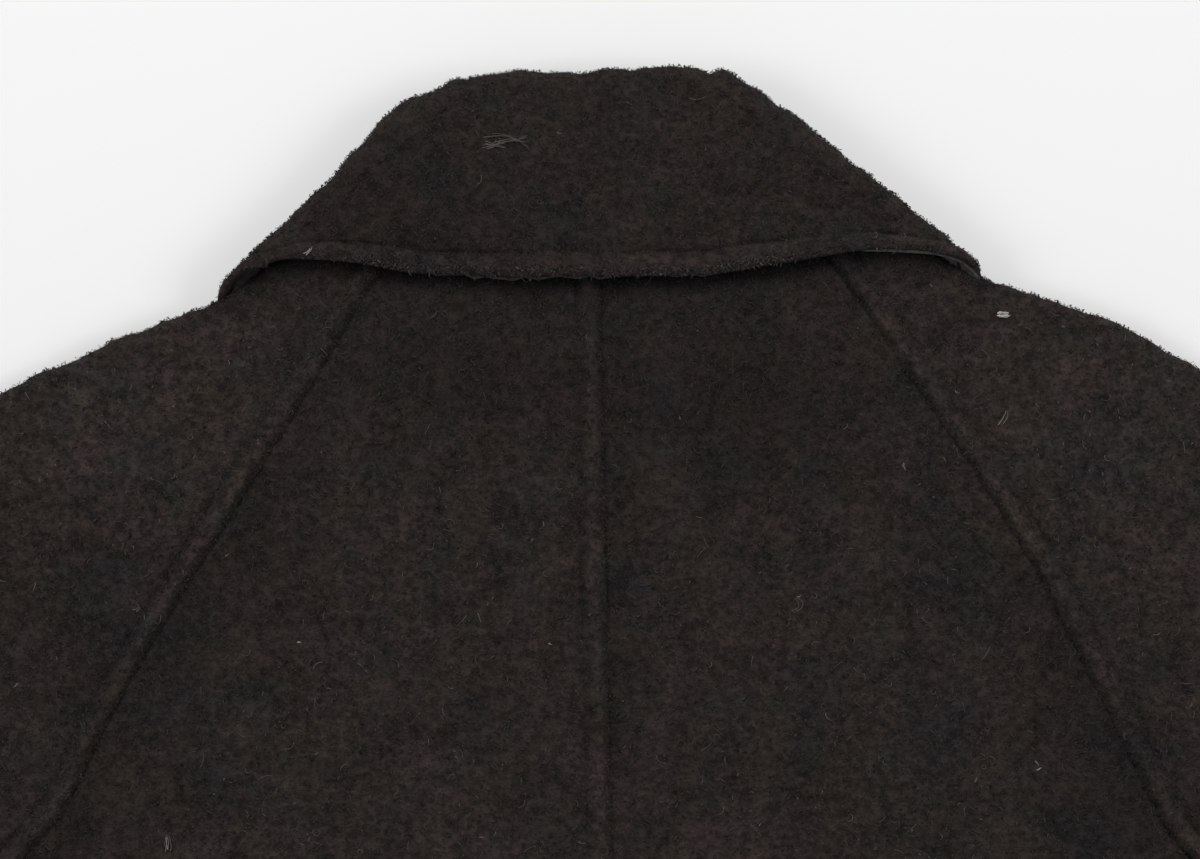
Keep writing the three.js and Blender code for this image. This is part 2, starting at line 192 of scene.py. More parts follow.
def seam_form(beside, along):
    """Height beside a seam: a groove at it, a swelling over the turnings and a stitched furrow."""
    uneven = 1 + 0.25 * np.sin(along / 23) + 0.2 * np.sin(along / 8.7 + 1.7)
    groove = -1.0 * np.exp(-((beside / 1.6) ** 2)) - 0.4 * np.exp(-((beside / 9) ** 2)) * (beside < 0)
    band = 0.9 * ease(beside, 0.2, 3.2) * (1 - ease(beside, 8, 15))
    ridge = 0.9 * uneven * np.exp(-(((beside - RIDGE_INSET) / 2.3) ** 2))
    furrow = -1.1 * uneven * np.exp(-(((beside - STITCH_INSET) / 2.1) ** 2))
    return groove + band + ridge + furrow


def seam_shade(beside, along):
    """Painted light and shade beside a seam: painted shade in its groove, in the hollow beside it and in
    its stitched furrow, and a painted highlight on its ridge.
    """
    uneven = 1 + 0.3 * np.sin(along / 31 + 2) + 0.25 * np.sin(along / 11.3)
    groove_shade = -0.16 * uneven * np.exp(-(((beside - 0.4) / 1.8) ** 2))
    hollow = -0.13 * np.exp(-(((beside + 4) / 9) ** 2)) * ease(-beside, -1, 3)
    ridge_highlight = 0.3 * uneven * np.exp(-(((beside - RIDGE_INSET) / 2.2) ** 2))
    furrow_shade = -0.19 * uneven * np.exp(-(((beside - STITCH_INSET) / 2.0) ** 2))
    return groove_shade + hollow + ridge_highlight + furrow_shade


def back_raglan(sign):
    """The back raglan seam of a side, as places out and up."""
    return np.stack([BACK_RAGLAN[:, 1 + (sign > 0)], -BACK_RAGLAN[:, 0]], 1)


CENTRE_SEAM = np.array([(0, -44), (0, -HEM_DROP)], float)
RAGLAN_SEAMS = {
    side: through(back_raglan(sign) * (sign, 1), evenly(BACK_RAGLAN[:, :2], 8))
    for side, sign in SIDES.items()
}

# Soft ridges and troughs of the upper layer: from (x, drop), to (x, drop), half width, height
CREASES = [
    (-100, 120, -178, 262, 17, -1.5),
    (-60, 105, -96, 160, 20, 1.3),
    (-30, 150, -58, 330, 34, 1.2),
    (44, 110, 64, 300, 30, 1.3),
    (96, 120, 128, 185, 18, -1.4),
    (120, 170, 196, 300, 16, -2.0),
    (84, 300, 170, 420, 26, 1.5),
    (-200, 330, -252, 395, 15, 2.0),
    (-170, 300, -230, 372, 10, -1.8),
    (205, 318, 258, 392, 12, 2.2),
    (170, 296, 226, 350, 10, -2.0),
    (-150, 130, -215, 215, 26, 1.6),
    (160, 122, 232, 215, 26, 1.7),
    (-230, 190, -330, 330, 24, 1.3),
    (240, 195, 330, 320, 22, 1.4),
    (-285, 330, -345, 300, 11, 3.2),
    (-300, 365, -372, 350, 10, 2.8),
    (286, 338, 352, 305, 11, 3.1),
    (305, 372, 380, 340, 10, 2.9),
    (-400, 420, -470, 330, 15, 3.6),
    (-455, 480, -530, 430, 13, 3.2),
    (410, 400, 470, 340, 15, 3.3),
    (470, 470, 540, 450, 12, 3.5),
    (-130, 380, -160, 545, 25, 3.6),
    (-40, 400, -60, 556, 22, 2.6),
    (60, 390, 84, 556, 24, 3.1),
    (190, 400, 214, 550, 22, 3.5),
]


def crease_form(x, y):
    """Height of the soft creases, which fade out at their ends."""
    form = 0.4 * lumps(x, y, 38, 5) + 0.3 * lumps(x, y, 15, 6)
    for x0, drop0, x1, drop1, half_width, height in CREASES:
        start, way = np.array([x0, -drop0]), np.array([x1 - x0, drop0 - drop1])
        share = ((x - start[0]) * way[0] + (y - start[1]) * way[1]) / (way @ way)
        aside = ((x - start[0]) * way[1] - (y - start[1]) * way[0]) / math.hypot(*way)
        wander = 0.4 * half_width * np.sin(3 * share + 0.02 * x0)
        along = ease(share, -0.35, 0.3) * (1 - ease(share, 0.7, 1.35))
        form = form + height * along * np.exp(-(((aside + wander) / half_width) ** 2))
    return form


def beside_seams(x, y, form, reach=22):
    """The sum of a form over the seams of the back, each measured from its ridge's side."""
    beside, along = from_line(CENTRE_SEAM, x, y)
    total = form(beside, along) * (np.abs(x) < reach)
    for side in SIDES:
        beside, along = from_line(RAGLAN_SEAMS[side], x, y)
        towards = beside if side == "left" else -beside
        faint = 0.8 + 0.2 * ease(along, 45, 130)
        total = total + faint * form(towards, along) * (np.abs(towards) < reach) * (along > 0)
    return total


def upper_form(x, y):
    """Height of all that shapes the upper layer: its seams, creases and small lumps."""
    return crease_form(x, y) + beside_seams(x, y, seam_form)


# Where the cloth is painted lighter or darker: painted light on the sleeve tops, painted shade below the
# collar, beside the raglan seams and in the folds by the underarms, and a lighter middle and lower back: x,
# drop, half width, half height, shade
ZONES = [
    (-195, 132, 70, 45, 0.3),
    (198, 165, 60, 80, 0.28),
    (0, 112, 105, 34, -0.12),
    (-60, 118, 45, 26, -0.31),
    (56, 130, 42, 34, -0.35),
    (-118, 150, 18, 26, -0.1),
    (-136, 184, 24, 26, -0.22),
    (-160, 214, 18, 24, -0.16),
    (-203, 248, 26, 28, -0.2),
    (128, 182, 24, 30, -0.14),
    (168, 228, 20, 42, -0.19),
    (198, 284, 24, 42, -0.22),
    (216, 306, 26, 16, -0.14),
    (-214, 300, 14, 11, -0.3),
    (-85, 190, 40, 36, 0.07),
    (-105, 272, 60, 50, 0.08),
    (85, 225, 38, 38, 0.08),
    (0, 350, 180, 80, 0.13),
]

# The line on the back along the collar's edge, below which a shadow is painted: x, y
UNDER_EDGE = np.array(
    [
        (-150, -86),
        (-133, -75),
        (-111, -72.6),
        (-68, -79),
        (-32, -81.4),
        (32, -81.4),
        (60, -80),
        (88, -75.8),
        (112, -73.1),
        (136, -75),
        (151, -84),
    ],
    float,
)


def upper_shade(x, y):
    """The painted light and shade of the upper layer: at its seams, as a shadow below the collar's edge and
    in the zones.
    """
    shade = beside_seams(x, y, seam_shade)
    below = from_line(UNDER_EDGE, x, y)[0]
    # painted shadow below the collar's edge, deeper and wider at the centre
    shade = shade - 0.62 * np.exp(-((below / 6.2) ** 2))
    wider = 0.12 + 0.2 * np.exp(-((x / 70) ** 2))
    shade = shade - wider * np.exp(-((below / 12) ** 2))
    for zone_x, drop, wide, high, change in ZONES:
        shade = shade + change * np.exp(-(((x - zone_x) / wide) ** 2) - ((y + drop) / high) ** 2)
    return shade


def normals_of(sheet):
    """The outward direction at each point of a sheet that is given as rows of points."""
    across = np.cross(np.gradient(sheet, axis=0), np.gradient(sheet, axis=1))
    return across / np.maximum(np.linalg.norm(across, axis=2, keepdims=True), 1e-9)


def tufted(sheet, strength=1.0):
    """A sheet made uneven by the tufts of its nap, which also roughen its outline."""
    x, y = sheet[..., 0], sheet[..., 1]
    large, middle, small = lumps(x + 40, y, 8.5, 7), lumps(x, y + 30, 5.0, 8), lumps(x, y, 2.9, 9)
    tufts = 0.3 * large + 0.6 * middle + 0.22 * small
    normal = normals_of(sheet)
    return sheet + normal * (strength * (2 - np.abs(normal[..., 2])) * tufts)[..., None]


def mesh_of(name, points, faces, material):
    """A mesh object from points in millimetres and faces of one size, smooth shaded."""
    points = np.asarray(points, float).reshape(-1, 3) * MM + (0, COLLAR_TOP * MM, 0)
    points[:, 2] = np.maximum(points[:, 2], 0)
    mesh = bpy.data.meshes.new(name)
    mesh.vertices.add(len(points))
    mesh.vertices.foreach_set("co", points.astype(np.float32).ravel())
    mesh.loops.add(faces.size)
    mesh.loops.foreach_set("vertex_index", faces.astype(np.int32).ravel())
    mesh.polygons.add(len(faces))
    mesh.polygons.foreach_set("loop_start", np.arange(len(faces), dtype=np.int32) * faces.shape[1])
    mesh.polygons.foreach_set("use_smooth", np.ones(len(faces), bool))
    mesh.update(calc_edges=True)
    mesh.validate()
    mesh.materials.append(material)
    piece = bpy.data.objects.new(name, mesh)
    bpy.context.scene.collection.objects.link(piece)
    return piece


RIM_SHARE = 0.3  # how far a cut edge rounds out, as a share of the cloth's thickness


def wall(name, sheet, thickness, material, shade):
    """A wall about a sheet, with rounded edges, that carries the painted light and shade of its nap."""
    rows, columns = sheet.shape[:2]
    normal = normals_of(sheet)
    outer, inner = sheet + normal * thickness / 2, sheet - normal * thickness / 2
    index = np.arange(rows * columns).reshape(rows, columns)
    square = [index[:-1, :-1], index[1:, :-1], index[1:, 1:], index[:-1, 1:]]
    faces = [np.stack(square, -1).reshape(-1, 4)]
    faces.append(faces[0][:, ::-1] + rows * columns)
    loop = np.concatenate([index[:-1, 0], index[-1, :-1], index[:0:-1, -1], index[0, :0:-1]])
    rim = sheet.reshape(-1, 3)[loop]
    edge_way = np.roll(rim, -1, 0) - np.roll(rim, 1, 0)
    outward = np.cross(edge_way, normal.reshape(-1, 3)[loop])
    outward /= np.maximum(np.linalg.norm(outward, axis=1, keepdims=True), 1e-9)
    rim = rim + outward * RIM_SHARE * thickness
    middle = 2 * rows * columns + np.arange(len(loop))
    following = np.roll(loop, -1), np.roll(middle, -1)
    faces.append(np.stack([loop, middle, following[1], following[0]], -1))
    below = loop + rows * columns, np.roll(loop, -1) + rows * columns
    faces.append(np.stack([middle, below[0], below[1], following[1]], -1))
    points = np.vstack([outer.reshape(-1, 3), inner.reshape(-1, 3), rim])
    piece = mesh_of(name, points, np.vstack(faces), material)
    mark = piece.data.attributes.new("shade", "FLOAT", "POINT")
    values = np.concatenate([shade.ravel(), shade.ravel(), shade.ravel()[loop]])
    mark.data.foreach_set("value", values.astype(np.float32))
    return piece


def node(tree, kind, x, y, **settings):
    """A node at a place in its tree, with its settings and the values of its sockets."""
    made = tree.nodes.new(kind)
    made.location = x, y
    for key, value in settings.items():
        if key in made.inputs:
            made.inputs[key].default_value = value
        else:
            setattr(made, key, value)
    return made


NAP_LIGHT = 2.12  # brightness of unshaded nap over its two colours, which the hues darken


def brushed_nap():
    """The look of a short curled nap: tone, cast and height that change over the cloth, with painted light
    and shade.
    """
    group = bpy.data.node_groups.new("brushed_nap", "ShaderNodeTree")
    for label in ("Deep", "Bright"):
        group.interface.new_socket(label, in_out="INPUT", socket_type="NodeSocketColor")
    for label in ("Curl", "Clump", "Patch", "Cast", "Shade"):
        group.interface.new_socket(label, in_out="INPUT", socket_type="NodeSocketFloat")
    group.interface.new_socket("Color", in_out="OUTPUT", socket_type="NodeSocketColor")
    group.interface.new_socket("Height", in_out="OUTPUT", socket_type="NodeSocketFloat")
    inside = node(group, "NodeGroupInput", -1400, 0)
    place = node(group, "ShaderNodeTexCoord", -1400, -300)
    link = group.links.new
    bend = node(group, "ShaderNodeTexNoise", -1200, -300, Scale=420, Detail=1)
    link(place.outputs["Object"], bend.inputs["Vector"])
    shift = node(group, "ShaderNodeVectorMath", -1000, -300, operation="MULTIPLY_ADD")
    shift.inputs[1].default_value = (0.0014, 0.0014, 0.0014)
    link(bend.outputs["Color"], shift.inputs[0])
    link(place.outputs["Object"], shift.inputs[2])

    def texture(scale, detail, low, high, y, weight, rest=None):
        """One size of unevenness by its weight, added to the rest."""
        noise = node(group, "ShaderNodeTexNoise", -800, y, Scale=scale, Detail=detail, Roughness=0.6)
        link(shift.outputs[0], noise.inputs["Vector"])
        spread = node(group, "ShaderNodeMapRange", -600, y)
        spread.inputs["From Min"].default_value = low
        spread.inputs["From Max"].default_value = high
        spread.inputs["To Min"].default_value = -0.5
        spread.inputs["To Max"].default_value = 0.5
        link(noise.outputs[0], spread.inputs[0])
        total = node(group, "ShaderNodeMath", -400, y, operation="MULTIPLY_ADD")
        link(spread.outputs[0], total.inputs[0])
        link(inside.outputs[weight], total.inputs[1])
        total.inputs[2].default_value = 0.5
        if rest is not None:
            link(rest, total.inputs[2])
        return total.outputs[0]

    def two_hues(scale, y, vector, low, high):
        """Patches of two hues, each given as its place in the noise and its colour."""
        noise = node(group, "ShaderNodeTexNoise", -800, y, Scale=scale, Detail=4, Roughness=0.6)
        link(vector, noise.inputs["Vector"])
        ramp = node(group, "ShaderNodeValToRGB", -650, y)
        for end, (position, *hue) in zip(ramp.color_ramp.elements, (low, high)):
            end.position = position
            end.color = (*hue, 1)
        link(noise.outputs[0], ramp.inputs[0])
        return ramp.outputs["Color"]

    curl = texture(620, 2, 0.34, 0.66, -100, "Curl")
    height = texture(270, 3, 0.36, 0.64, -350, "Clump", curl)
    tone = texture(55, 3, 0.34, 0.66, -600, "Patch", height)
    blend = node(group, "ShaderNodeMix", 0, 100, data_type="RGBA")
    link(tone, blend.inputs["Factor"])
    link(inside.outputs["Deep"], blend.inputs["A"])
    link(inside.outputs["Bright"], blend.inputs["B"])
    bluer, browner = (0.39, 0.385, 0.452, 0.458), (0.53, 0.525, 0.498, 0.47)
    dyes = two_hues(36, -850, shift.outputs[0], bluer, browner)
    cast = node(group, "ShaderNodeMix", -400, -850, data_type="RGBA")
    link(inside.outputs["Cast"], cast.inputs["Factor"])
    cast.inputs["A"].default_value = (0.5, 0.5, 0.5, 1)
    link(dyes, cast.inputs["B"])
    olive, violet = (0.4, 0.965, 0.985, 0.89), (0.6, 0.955, 0.925, 1)
    tints = two_hues(46, -1300, place.outputs["Object"], olive, violet)
    # painted light and shade: the colour is scaled by one plus the Shade input
    light = node(group, "ShaderNodeMath", -400, -1050, operation="MULTIPLY_ADD")
    light.inputs[1].default_value = NAP_LIGHT
    light.inputs[2].default_value = NAP_LIGHT
    link(inside.outputs["Shade"], light.inputs[0])
    dyed = node(group, "ShaderNodeVectorMath", 200, 0, operation="MULTIPLY")
    link(blend.outputs["Result"], dyed.inputs[0])
    link(cast.outputs["Result"], dyed.inputs[1])
    tinted = node(group, "ShaderNodeVectorMath", 350, 0, operation="MULTIPLY")
    link(dyed.outputs[0], tinted.inputs[0])
    link(tints, tinted.inputs[1])
    lit = node(group, "ShaderNodeVectorMath", 500, 0, operation="SCALE")
    link(tinted.outputs[0], lit.inputs[0])
    link(light.outputs[0], lit.inputs["Scale"])
    results = node(group, "NodeGroupOutput", 650, 0)
    link(lit.outputs[0], results.inputs["Color"])
    link(height, results.inputs["Height"])
    return group


NAP_GROUP = brushed_nap()


def napped(name, deep, bright, texture, depth, sheen):
    """A napped cloth: a rough ground whose nap catches light at grazing angles.

    Texture gives the weights of curl, clump, patch and cast, and depth is in metres.
    """
    material = bpy.data.materials.new(name)
    material.use_nodes = True
    tree = material.node_tree
    tree.nodes.clear()
    nap = node(tree, "ShaderNodeGroup", -500, 0, node_tree=NAP_GROUP)
    nap.inputs["Deep"].default_value = (*deep, 1)
    nap.inputs["Bright"].default_value = (*bright, 1)
    for label, weight in zip(("Curl", "Clump", "Patch", "Cast"), texture):
        nap.inputs[label].default_value = weight
    # the painted light and shade that each piece carries, which scales its colour
    shade = node(tree, "ShaderNodeAttribute", -750, 0, attribute_name="shade")
    bump = node(tree, "ShaderNodeBump", -250, -200, Distance=depth)
    shader = node(tree, "ShaderNodeBsdfPrincipled", 0, 0, Roughness=0.95)
    shader.inputs["Specular IOR Level"].default_value = 0.15
    shader.inputs["Sheen Weight"].default_value = sheen
    shader.inputs["Sheen Roughness"].default_value = 0.5
    shader.inputs["Sheen Tint"].default_value = (0.8, 0.72, 0.68, 1)
    finish = node(tree, "ShaderNodeOutputMaterial", 300, 0)
    tree.links.new(shade.outputs["Fac"], nap.inputs["Shade"])
    tree.links.new(nap.outputs["Color"], shader.inputs["Base Color"])
    tree.links.new(nap.outputs["Height"], bump.inputs["Height"])
    tree.links.new(bump.outputs["Normal"], shader.inputs["Normal"])
    tree.links.new(shader.outputs[0], finish.inputs[0])
    return material


WOOL = napped(
    "coat_wool",
    deep=(0.0038, 0.003, 0.0028),
    bright=(0.0312, 0.0235, 0.0219),
    texture=(0.29, 0.54, 0.28, 0.9),
    depth=0.0009,
    sheen=0.03,
)


def fibre_material():
    """The nap's single hairs: dark ones, some lighter, by the tone that each one carries."""
    material = bpy.data.materials.new("nap_hairs")
    material.use_nodes = True
    tree = material.node_tree
    tree.nodes.clear()
    tone = node(tree, "ShaderNodeAttribute", -500, 0, attribute_name="tone")
    ramp = node(tree, "ShaderNodeValToRGB", -300, 0)
    first, *between, last = [
        (0, 0.009, 0.0072, 0.0067),
        (0.6, 0.027, 0.0218, 0.0205),
        (0.85, 0.075, 0.067, 0.062),
        (1, 0.46, 0.44, 0.42),
    ]
    for end, (position, *colour) in zip(ramp.color_ramp.elements, (first, last)):
        end.position = position
        end.color = (*colour, 1)
    for position, *colour in between:
        ramp.color_ramp.elements.new(position).color = (*colour, 1)
    shader = node(tree, "ShaderNodeBsdfPrincipled", 0, 0, Roughness=0.8)
    shader.inputs["Specular IOR Level"].default_value = 0.2
    finish = node(tree, "ShaderNodeOutputMaterial", 300, 0)
    tree.links.new(tone.outputs["Fac"], ramp.inputs[0])
    tree.links.new(ramp.outputs["Color"], shader.inputs["Base Color"])
    tree.links.new(shader.outputs[0], finish.inputs[0])
    return material


HAIRS = fibre_material()


def ribbons(spine, side, tone, name):
    """Thin tapering ribbons, each along a line of points, joined in one mesh that carries their tones."""
    points = []
    for place, aside in zip(spine[:-1], side[:-1]):
        points += [place - aside, place + aside]
    points.append(spine[-1])
    each = len(points)
    points = np.stack(points, 1).reshape(-1, 3)
    points[:, 2] = np.maximum(points[:, 2], 0.1)
    faces = []
    for low in range(0, each - 3, 2):
        faces += [(low, low + 1, low + 3), (low, low + 3, low + 2)]
    faces.append((each - 3, each - 2, each - 1))
    faces = (np.array(faces)[None] + np.arange(len(tone))[:, None, None] * each).reshape(-1, 3)
    piece = mesh_of(name, points, faces, HAIRS)
    mark = piece.data.attributes.new("tone", "FLOAT", "POINT")
    mark.data.foreach_set("value", np.repeat(tone, each).astype(np.float32))
    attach(piece, "root")
    return piece


def rooted(sheet, shade, count, random, spread):
    """Places on a sheet for hairs to grow from, the direction out of the cloth and the painted light and
    shade at each.

    Spread says how close together the hairs are at x, y, z. They are closer on slopes and where darker
    shade is painted.
    """
    corner = [sheet[:-1, :-1], sheet[1:, :-1], sheet[1:, 1:], sheet[:-1, 1:]]
    facing = np.cross(corner[2] - corner[0], corner[3] - corner[1])
    area = np.linalg.norm(facing, axis=2)
    grazing = 1 - np.abs(facing[..., 2]) / np.maximum(area, 1e-9)
    middle = sum(corner) / 4
    share = spread(middle[..., 0], middle[..., 1], middle[..., 2]) * (1 + 2.5 * grazing)
    weight = (area * share * np.clip(1 - 1.2 * shade[:-1, :-1], 0.8, 1.6)).ravel()
    row, column = np.unravel_index(random.choice(weight.size, count, p=weight / weight.sum()), area.shape)
    u, v = random.random((2, count, 1))

    def at(grid):
        """The values of a grid at the places."""
        near = grid[row, column] * (1 - v) + grid[row, column + 1] * v
        far = grid[row + 1, column] * (1 - v) + grid[row + 1, column + 1] * v
        return near * (1 - u) + far * u

    root, up = at(sheet), at(normals_of(sheet))
    return root, up / np.linalg.norm(up, axis=1, keepdims=True), shade[row, column]


NAP_WAY = 0.1, -0.3, 0  # the nap is brushed a little downwards
PALE_SHARE = 0.02  # of the hairs
PALEST_NAP = 0.85  # tone


def hairs(name, sheet, shade, count, seed, spread, points=3, long=1.0, wide=1.0, tones=(0.0, 0.78)):
    """Curled hairs of the nap on the outside of a sheet, joined in one mesh.

    Each lies along the cloth, bends by its curl and rises in the middle. The painted light and shade of the
    ground carries over to its hairs.
    """
    random = np.random.default_rng(seed)
    root, up, painted_shading = rooted(sheet, shade, count, random, spread)
    way = random.normal(0, 1, (count, 3)) * (0.7, 1, 1) + NAP_WAY
    way -= up * (way * up).sum(1, keepdims=True)
    way /= np.linalg.norm(way, axis=1, keepdims=True)
    aside = np.cross(up, way)
    length = long * random.gamma(4, 0.35, (count, 1)).clip(0.7, 3)
    curl = random.normal(0, 2.0, (count, 1))
    lift = random.gamma(2.0, 0.27, (count, 1)).clip(0.12, 1.5)
    half_width = wide * random.uniform(0.18, 0.38, (count, 1))
    spine, side = [], []
    place = root - up * 0.12
    for share in np.linspace(0, 1, points):
        turn = curl * (share - 0.3) * 2
        if share:
            place = place + (way * np.cos(turn) + aside * np.sin(turn)) * length / (points - 1)
        spine.append(place + up * lift * math.sin(math.pi * (0.12 + 0.72 * share)))
        side.append((aside * np.cos(turn) - way * np.sin(turn)) * half_width * (1 - 0.55 * share))
    tone = tones[0] + (tones[1] - tones[0]) * random.beta(1.5, 3.0, count)
    paler = 0.3 * (random.random(count) < PALE_SHARE)
    # the ground's painted light and shade darkens or lightens each hair's tone
    tone = np.minimum((tone + paler) * np.clip(1 + painted_shading, 0.1, 1.1), PALEST_NAP)
    return ribbons(spine, side, tone, name)


def plain_thread():
    """Dark buttonhole twist, a little smoother than the wool."""
    material = bpy.data.materials.new("topstitch_thread")
    material.use_nodes = True
    tree = material.node_tree
    shader = tree.nodes["Principled BSDF"]
    shader.inputs["Roughness"].default_value = 0.9
    shader.inputs["Specular IOR Level"].default_value = 0.1
    place = node(tree, "ShaderNodeTexCoord", -700, 0)
    strands = node(tree, "ShaderNodeTexNoise", -500, 0, Scale=1500, Detail=1)
    ramp = node(tree, "ShaderNodeValToRGB", -300, 0)
    ramp.color_ramp.elements[0].color = (0.005, 0.004, 0.004, 1)
    ramp.color_ramp.elements[1].color = (0.018, 0.0155, 0.015, 1)
    tree.links.new(place.outputs["Object"], strands.inputs["Vector"])
    tree.links.new(strands.outputs[0], ramp.inputs[0])
    tree.links.new(ramp.outputs["Color"], shader.inputs["Base Color"])
    return material


THREAD = plain_thread()

# The rings of one stitch, which dips into the cloth at both ends: along, height, radius
STITCH_RINGS = [(-1.2, -0.7, 0.1), (-0.7, -0.2, 0.22), (0.7, -0.2, 0.22), (1.2, -0.7, 0.1)]


def stitches(name, line):
    """A row of topstitches of dark thread along a line of points, sunk in the cloth."""
    length = np.concatenate([[0], np.cumsum(np.linalg.norm(np.diff(line, axis=0), axis=1))])
    middles = np.arange(3, length[-1] - 3, STITCH_PITCH)
    start, centre, end = (np.stack([np.interp(middles + step, length, line[:, k]) for k in range(3)], 1)
                          for step in (-0.5, 0, 0.5))
    way = (end - start) / np.linalg.norm(end - start, axis=1, keepdims=True)
    aside = np.cross([0, 0, 1.0], way)
    aside /= np.linalg.norm(aside, axis=1, keepdims=True)
    up = np.cross(way, aside)
    points, sides = [], 5
    for along, high, radius in STITCH_RINGS:
        for k in range(sides):
            angle = 2 * math.pi * k / sides
            points.append(centre + way * along + aside * radius * math.cos(angle)
                          + up * (high + radius * math.sin(angle)))
    quads = []
    for ring in range(len(STITCH_RINGS) - 1):
        for k in range(sides):
            a, b = ring * sides + k, ring * sides + (k + 1) % sides
            quads.append((a, b, b + sides, a + sides))
    each = len(points)
    points = np.stack(points, 1).reshape(-1, 3)
    faces = (np.array(quads)[None] + np.arange(len(middles))[:, None, None] * each).reshape(-1, 4)
    piece = mesh_of(name, points, faces, THREAD)
    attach(piece, "root")
    return piece


NEAR_SEAM = np.concatenate([np.arange(0, 14, 0.7), [15.5, 18, 22]])  # distances of the closest columns
ROW_STEP = 3.6  # between the rows of points of a sheet
SIDE_STEP = 1.6 * ROW_STEP  # below the underarm
NECK_DROP = 48.4  # of the back's neckline at the centre
BACK_COLUMNS = 46  # between those that are close to the seams


def seamed_columns(length, near, far, between):
    """Places along a row, close together beside its two ends, as distances from its start."""
    middle = np.linspace(near[-1], length - far[-1], between + 2)[1:-1]
    return np.concatenate([near, middle, length - far[::-1]])


def body_rows(seam):
    """The rows of a body panel: each one's corner at its seam and its place at the centre."""
    raglan = through(seam, evenly(seam, ROW_STEP))
    side = SIDE_SEAM[:, ::-1] * (1, -1)
    below = through(side, evenly(side, SIDE_STEP))
    corners = np.vstack([raglan, below])
    share = (corners[:, 1] - corners[0, 1]) / (corners[-1, 1] - corners[0, 1])
    centre = -NECK_DROP + share * (NECK_DROP - HEM_DROP)
    return corners, centre


EDGE_RADIUS = (CLOTH + LAY_GAP - SEAM_GAP) / 2  # of the quarter turn down at a closed edge
EDGE_STEPS = 5
EDGE_RUN = 0.5  # length of as many steps at an open edge


def edge_turn(turned):
    """The last stretch before a seam, which turns a quarter circle or hardly runs on: run and fall."""
    angle = np.linspace(0, math.pi / 2, EDGE_STEPS + 1)[1:]
    if turned:
        return EDGE_RADIUS * np.sin(angle), EDGE_RADIUS * (1 - np.cos(angle))
    return np.linspace(0, EDGE_RUN, EDGE_STEPS + 1)[1:] - EDGE_RUN, np.zeros(EDGE_STEPS)


def edge_reach(turned):
    """How far short of its seam a row's last place lies."""
    return EDGE_RADIUS + CLOTH / 2 if turned else SEAM_GAP / 2


def laid(sign, rows, turned, height, fall):
    """A sheet from rows of places in plan, at a height, with its turned edge falling away."""
    rows = np.array(rows)
    x, y = sign * rows[..., 0], rows[..., 1]
    z = height(x, y)
    edge = z[:, -EDGE_STEPS - 1 : -EDGE_STEPS]
    falls = edge_turn(True)[1]
    z[:, -EDGE_STEPS:] = np.where(turned[:, None], edge + fall * falls, z[:, -EDGE_STEPS:])
    return np.stack([x, y, z], -1)


def over_back(x, y):
    """The middle of the upper layer's cloth with its seams and creases."""
    return back_height(x, y) + upper_form(x, y)


def back_panel(side):
    """The sheet of one half of the back, as rows from the centre seam to the raglan or side seam."""
    sign = SIDES[side]
    seam = back_raglan(sign)
    corners, centre = body_rows(seam)
    turned = np.arange(len(corners)) >= len(evenly(seam, ROW_STEP))
    rows = []
    for corner, drop, turns in zip(corners, centre, turned):
        inner = np.array([SEAM_GAP / 2, drop])
        way = (corner - inner) / math.hypot(*(corner - inner))
        length = math.hypot(*(corner - inner)) - edge_reach(turns)
        along = seamed_columns(length, NEAR_SEAM, NEAR_SEAM, BACK_COLUMNS)
        tail = length + edge_turn(turns)[0]
        along[-1] = length if turns else length - EDGE_RUN
        rows.append(inner + np.r_[along, tail][:, None] * way)
    sheet = laid(sign, rows, turned, over_back, -1)
    return sheet if sign > 0 else sheet[:, ::-1]


def outside(sheet, thickness):
    """The outer face of a sheet's wall."""
    return sheet + normals_of(sheet) * thickness / 2


def in_view(x, y, z):
    """Hairs are closer together on the upper back and the shoulders, where the cloth is looked at."""
    return 0.16 + ease(-np.hypot(x, (y + 150) * 1.25), -400, -300)


def beside_line(line, away):
    """A line in plan moved sideways, to its right."""
    way = np.gradient(line, axis=0)
    way /= np.linalg.norm(way, axis=1, keepdims=True)
    return line + away * np.stack([way[:, 1], -way[:, 0]], 1)


def on_upper(line):
    """A line in plan raised onto the outer face of the upper layer."""
    return np.column_stack([line, over_back(line[:, 0], line[:, 1]) + CLOTH / 2])


BACK_HAIRS = 32000
BACK_CURLS = 1400
CURLS = {"points": 6, "long": 2.3, "wide": 0.5, "tones": (0.54, 0.87)}  # the longest, loosest hairs
outer_faces = []
for side, sign in SIDES.items():
    smooth = back_panel(side)
    sheet, shade = tufted(smooth), upper_shade(smooth[..., 0], smooth[..., 1])
    face = outside(sheet, CLOTH)
    panel = wall(f"cloth_back_{side}", sheet, CLOTH, WOOL, shade)
    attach(panel, "root")
    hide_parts(f"back_{side}")
    nap = hairs(f"nap_back_{side}", face, shade, BACK_HAIRS, 11 + sign, in_view)
    hairs(f"curls_back_{side}", face, shade, BACK_CURLS, 41 + sign, in_view, **CURLS)
    outer_faces.append(face)

STITCHES_START = 84  # drop of the first centre stitch, just below the collar's edge
centre_line = np.stack([np.zeros(60), np.linspace(-STITCHES_START, 1 - HEM_DROP, 60)], 1)
stitches("stitches_centre", on_upper(beside_line(centre_line, STITCH_INSET)))

# ---------------------------------------------------------------------------------------------------
# Sleeves: one-piece raglan sleeves of the same wool, folded along the shoulder and closed at the
# underarm. Their turnings at the raglan seams are pressed into the sleeve and stitched down.

# Front raglan seam: drop, out
FRONT_RAGLAN = np.array(
    [
        (93, 80),
        (117, 86),
        (138, 103),
        (160, 120),
        (183, 138),
        (207, 156),
        (231, 174),
        (256, 192),
        (281, 209),
        (306, 226),
        (330, 245),
        (350, 266),
    ],
    float,
)

